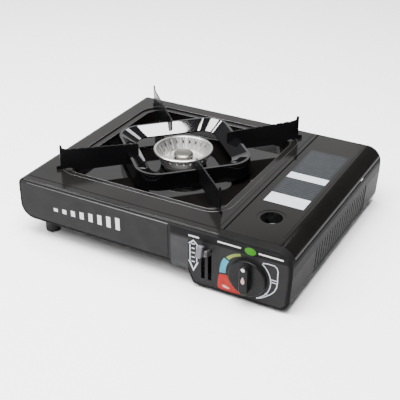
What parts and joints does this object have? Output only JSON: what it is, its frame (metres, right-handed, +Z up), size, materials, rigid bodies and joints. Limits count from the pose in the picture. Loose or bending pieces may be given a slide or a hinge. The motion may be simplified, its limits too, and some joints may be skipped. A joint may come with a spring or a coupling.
{
  "type": "butane cassette stove",
  "caption": "Tabletop single-burner gas stove: pressed steel case, lift-off pan support, ring burner, hinged cartridge lid, lock lever and rotary igniter knob.",
  "frame": {"origin": "middle of the whole stove's footprint, on the table under its feet", "axes": "+X to the right along the front, +Y towards the rear, +Z up"},
  "size_m": [0.343, 0.289, 0.104],
  "materials": {
    "case_enamel": "semi-gloss black",
    "top_enamel": "gloss black enamel",
    "lid_enamel": "gloss black enamel",
    "panel_paint": "satin black",
    "support_enamel": "glassy black enamel",
    "zinc_steel": "zinc plated",
    "bright_steel": "bright",
    "aluminium_sheet": "mill",
    "cast_aluminium": "die cast, bright rim",
    "die_cast": "die cast, matt",
    "brass": "turned",
    "knob_plastic": "fine grained black",
    "grip_plastic": "grey-black",
    "cam_plastic": "natural acetal",
    "ceramic": "glazed ceramic",
    "lead_sleeve": "silicone sleeve",
    "label_print": "printed film",
    "foot_rubber": "matt"
  },
  "bodies": {
    "stove": {"case": "case_enamel", "top_plate": "top_enamel", "front_panel": "panel_paint", "control_panel": "panel_paint", "bulkhead": "zinc_steel", "heat_shield": "zinc_steel", "heat_strip": "aluminium_sheet", "cartridge_cradles": "zinc_steel", "bay_rear_stop": "zinc_steel", "lid_hinge_pins": "bright_steel", "regulator": "die_cast", "diaphragm_cover": "zinc_steel", "valve_body": "brass", "valve_screws": "bright_steel", "piezo_igniter": "cam_plastic", "piezo_clip": "zinc_steel", "ignition_lead": "lead_sleeve", "electrode_insulator": "ceramic", "spark_electrode": "bright_steel", "lever_pivot_pin": "bright_steel", "lever_bracket": "zinc_steel", "burner_head": "cast_aluminium", "burner_cap": "cast_aluminium", "burner_chamber": "cast_aluminium", "mixing_tube": "aluminium_sheet", "air_shutter": "zinc_steel", "gas_jet": "brass", "gas_pipe": "bright_steel", "burner_bracket": "zinc_steel", "bracket_screws": "bright_steel", "tall_feet": "foot_rubber", "short_feet": "foot_rubber", "foot_screws": "bright_steel"},
    "lid": {"cartridge_lid": "lid_enamel", "lid_label": "label_print"},
    "knob": {"control_knob": "knob_plastic", "valve_spindle": "bright_steel", "ignition_cam": "cam_plastic"},
    "striker": {"striker": "cam_plastic"},
    "lever": {"lock_lever": "zinc_steel", "lever_grips": "grip_plastic"},
    "carriage": {"cartridge_carriage": "zinc_steel"},
    "pan_support": {"support_ring": "support_enamel", "support_blades": "support_enamel"}
  },
  "joints": [
    {"name": "lid_hinge", "type": "hinge", "parent": "stove", "child": "lid", "pos_m": [0.167, 0.007, 0.0635], "axis": [0, 1, 0], "range_deg": [0, 105]},
    {"name": "knob_turn", "type": "hinge", "parent": "stove", "child": "knob", "pos_m": [0.124, -0.1305, 0.034], "axis": [0, -1, 0], "range_deg": [0, 150]},
    {"name": "striker_press", "type": "slide", "parent": "stove", "child": "striker", "axis": [-1, 0, 0], "range_m": [0, 0.004]},
    {"name": "lever_press", "type": "hinge", "parent": "stove", "child": "lever", "pos_m": [0.075, -0.091, 0.034], "axis": [1, 0, 0], "range_deg": [0, 42]},
    {"name": "carriage_slide", "type": "slide", "parent": "stove", "child": "carriage", "axis": [0, -1, 0], "range_m": [0, 0.00499]},
    {"name": "support_lift", "type": "slide", "parent": "stove", "child": "pan_support", "axis": [0, 0, 1], "range_m": [0, 0.08]}
  ],
  "couplings": [
    {"joint": "striker_press", "follows": "knob_turn", "m_per_rad": 0.0015271},
    {"joint": "carriage_slide", "follows": "lever_press", "m_per_rad": 0.0068042}
  ]
}
